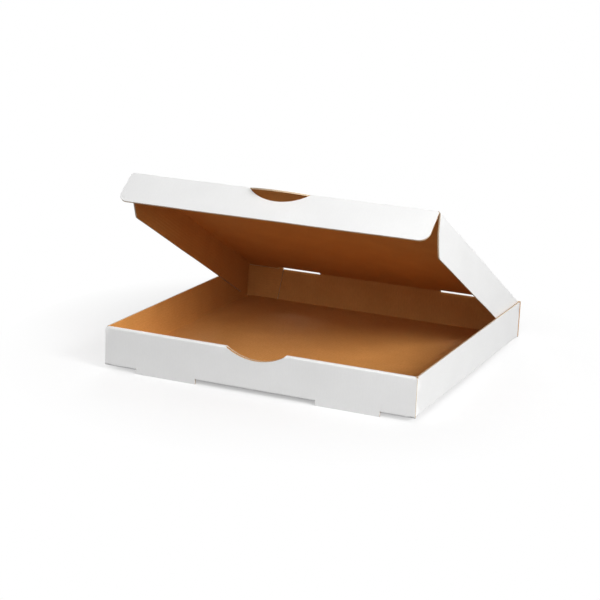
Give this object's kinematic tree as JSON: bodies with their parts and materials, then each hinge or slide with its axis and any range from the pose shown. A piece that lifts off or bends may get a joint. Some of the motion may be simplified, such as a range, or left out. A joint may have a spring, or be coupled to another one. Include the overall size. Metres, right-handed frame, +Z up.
{
  "type": "pizza box",
  "caption": "Square pizza box folded from white-faced brown board, with a double front wall, lock tabs, a thumb notch, and a hinged lid with side flaps, a half-moon lip and a tuck flap",
  "frame": {"origin": "below the middle of the tray, at the height of the front tongues' ends that the box stands on", "axes": "+X to the box's right seen from the front, +Y to the back, where the lid is hinged, +Z up"},
  "size_m": [0.33, 0.33, 0.1986],
  "materials": {
    "tray_board": "matt white outer liner, brown kraft inner liner",
    "lid_board": "matt white outer liner, brown kraft inner liner",
    "flap_board": "matt white outer liner, brown kraft inner liner"
  },
  "bodies": {
    "tray_body": {"tray": "tray_board"},
    "lid_body": {"lid": "lid_board"},
    "flap_body": {"front_flap": "flap_board"}
  },
  "joints": [
    {"name": "lid_hinge", "type": "hinge", "parent": "tray_body", "child": "lid_body", "pos_m": [0, 0.16425, 0.04325], "axis": [-1, 0, 0], "range_deg": [-24.5, 152.5]},
    {"name": "flap_hinge", "type": "hinge", "parent": "lid_body", "child": "flap_body", "pos_m": [0, -0.12181, 0.19216], "axis": [-1, 0, 0], "range_deg": [-30, 65]}
  ]
}
